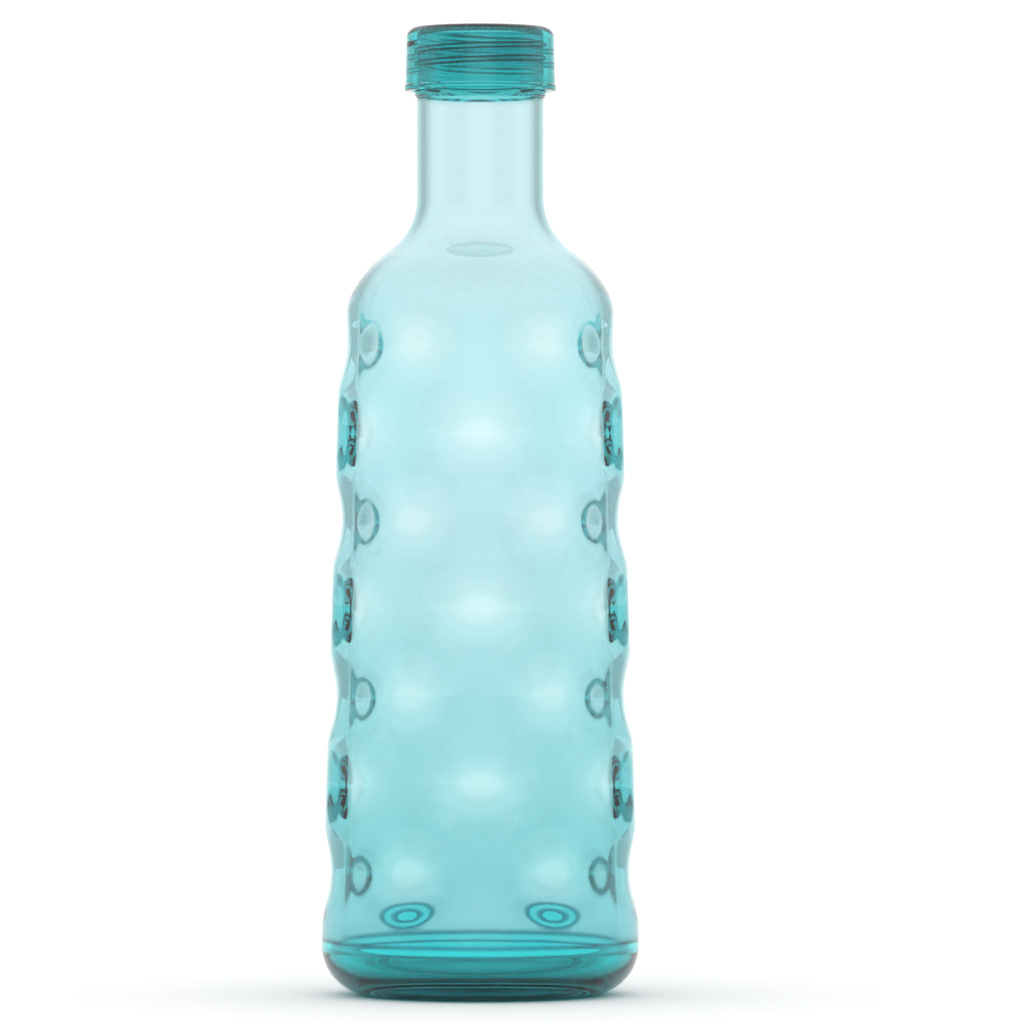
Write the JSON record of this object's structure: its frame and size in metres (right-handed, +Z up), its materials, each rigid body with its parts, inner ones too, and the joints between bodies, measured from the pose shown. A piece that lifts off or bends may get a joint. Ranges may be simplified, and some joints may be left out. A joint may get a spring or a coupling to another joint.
{
  "type": "dimpled water bottle",
  "caption": "Clear dimpled bottle with a long neck, a thick bonded base and a clear screw cap that unscrews and lifts off.",
  "frame": {"origin": "centre of the foot, on the surface the bottle stands on", "axes": "+Z up along the bottle's axis; front faces -Y, with two columns of dimples in the top row either side of it"},
  "size_m": [0.0936, 0.0936, 0.2853],
  "materials": {
    "body_clear": "polished, clear pale turquoise",
    "base_clear": "polished, clear turquoise, thick",
    "cap_clear": "clear turquoise moulded plastic, tinted to match the glass",
    "seal_clear": "soft translucent liner"
  },
  "bodies": {
    "bottle": {"bottle_body": "body_clear", "base_cup": "base_clear"},
    "seal": {"cap_seal": "seal_clear"},
    "cap": {"screw_cap": "cap_clear"}
  },
  "joints": [
    {"name": "cap_lift", "type": "slide", "parent": "bottle", "child": "seal", "axis": [0, 0, 1], "range_m": [0, 0.02]},
    {"name": "cap_turn", "type": "hinge", "parent": "seal", "child": "cap", "pos_m": [0, 0, 0.2829], "axis": [0, 0, 1], "range_deg": [0, 1800]}
  ],
  "couplings": [
    {"joint": "cap_turn", "follows": "cap_lift", "rad_per_m": 1570.8}
  ]
}
